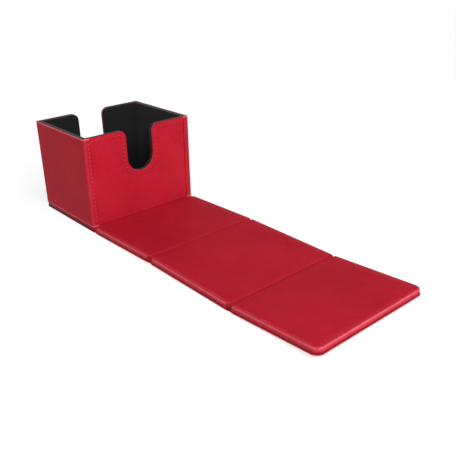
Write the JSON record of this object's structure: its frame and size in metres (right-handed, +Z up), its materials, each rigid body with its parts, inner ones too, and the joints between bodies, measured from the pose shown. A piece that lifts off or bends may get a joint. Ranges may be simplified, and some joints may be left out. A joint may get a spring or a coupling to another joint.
{
  "type": "card deck box",
  "caption": "Open-topped box for a deck of sleeved cards, with thumb notches and a padded three-panel cover hinged at the front that wraps over the top and down the back.",
  "frame": {"origin": "on the underside of the base panel, under the middle of the box", "axes": "+Z up; -Y the way the open cover runs, out of the front of the box; +X to the right seen from the front"},
  "size_m": [0.1028, 0.3194, 0.0775],
  "materials": {
    "red_leatherette": "satin",
    "red_thread": "satin",
    "charcoal_lining": "matte",
    "greyboard": "matte",
    "cover_foam": "matte",
    "magnet_steel": "satin"
  },
  "bodies": {
    "card_box": {"base_board": "greyboard", "base_outer_skin": "red_leatherette", "base_inner_skin": "red_leatherette", "front_wall_board": "greyboard", "back_wall_board": "greyboard", "left_wall_board": "greyboard", "right_wall_board": "greyboard", "floor_board": "greyboard", "front_wall_skin": "red_leatherette", "back_wall_skin": "red_leatherette", "left_wall_skin": "red_leatherette", "right_wall_skin": "red_leatherette", "front_lining": "charcoal_lining", "back_lining": "charcoal_lining", "left_lining": "charcoal_lining", "right_lining": "charcoal_lining", "floor_lining": "charcoal_lining", "back_wall_magnets": "magnet_steel", "front_rim_thread": "red_thread", "back_rim_thread": "red_thread", "left_corner_thread": "red_thread", "right_corner_thread": "red_thread", "front_hinge_strip": "red_leatherette"},
    "front_flap": {"front_flap_board": "greyboard", "front_flap_foam": "cover_foam", "front_flap_inner_skin": "red_leatherette", "front_flap_outer_skin": "red_leatherette", "front_flap_thread": "red_thread", "top_hinge_strip": "red_leatherette"},
    "top_flap": {"top_flap_board": "greyboard", "top_flap_foam": "cover_foam", "top_flap_inner_skin": "red_leatherette", "top_flap_outer_skin": "red_leatherette", "top_flap_thread": "red_thread", "back_hinge_strip": "red_leatherette"},
    "back_flap": {"back_flap_board": "greyboard", "back_flap_foam": "cover_foam", "back_flap_inner_skin": "red_leatherette", "back_flap_outer_skin": "red_leatherette", "back_flap_thread": "red_thread", "back_flap_magnets": "magnet_steel"}
  },
  "joints": [
    {"name": "front_flap_fold", "type": "hinge", "parent": "card_box", "child": "front_flap", "pos_m": [0, -0.0422, 0.0035], "axis": [-1, 0, 0], "range_deg": [0, 88.91], "deforming": ["front_hinge_strip"]},
    {"name": "top_flap_fold", "type": "hinge", "parent": "front_flap", "child": "top_flap", "pos_m": [0, -0.11849, 0.00495], "axis": [-1, 0, 0], "range_deg": [0, 92.04], "deforming": ["top_hinge_strip"]},
    {"name": "back_flap_fold", "type": "hinge", "parent": "top_flap", "child": "back_flap", "pos_m": [0, -0.20567, 0.0035], "axis": [-1, 0, 0], "range_deg": [0, 88.6], "deforming": ["back_hinge_strip"]}
  ]
}
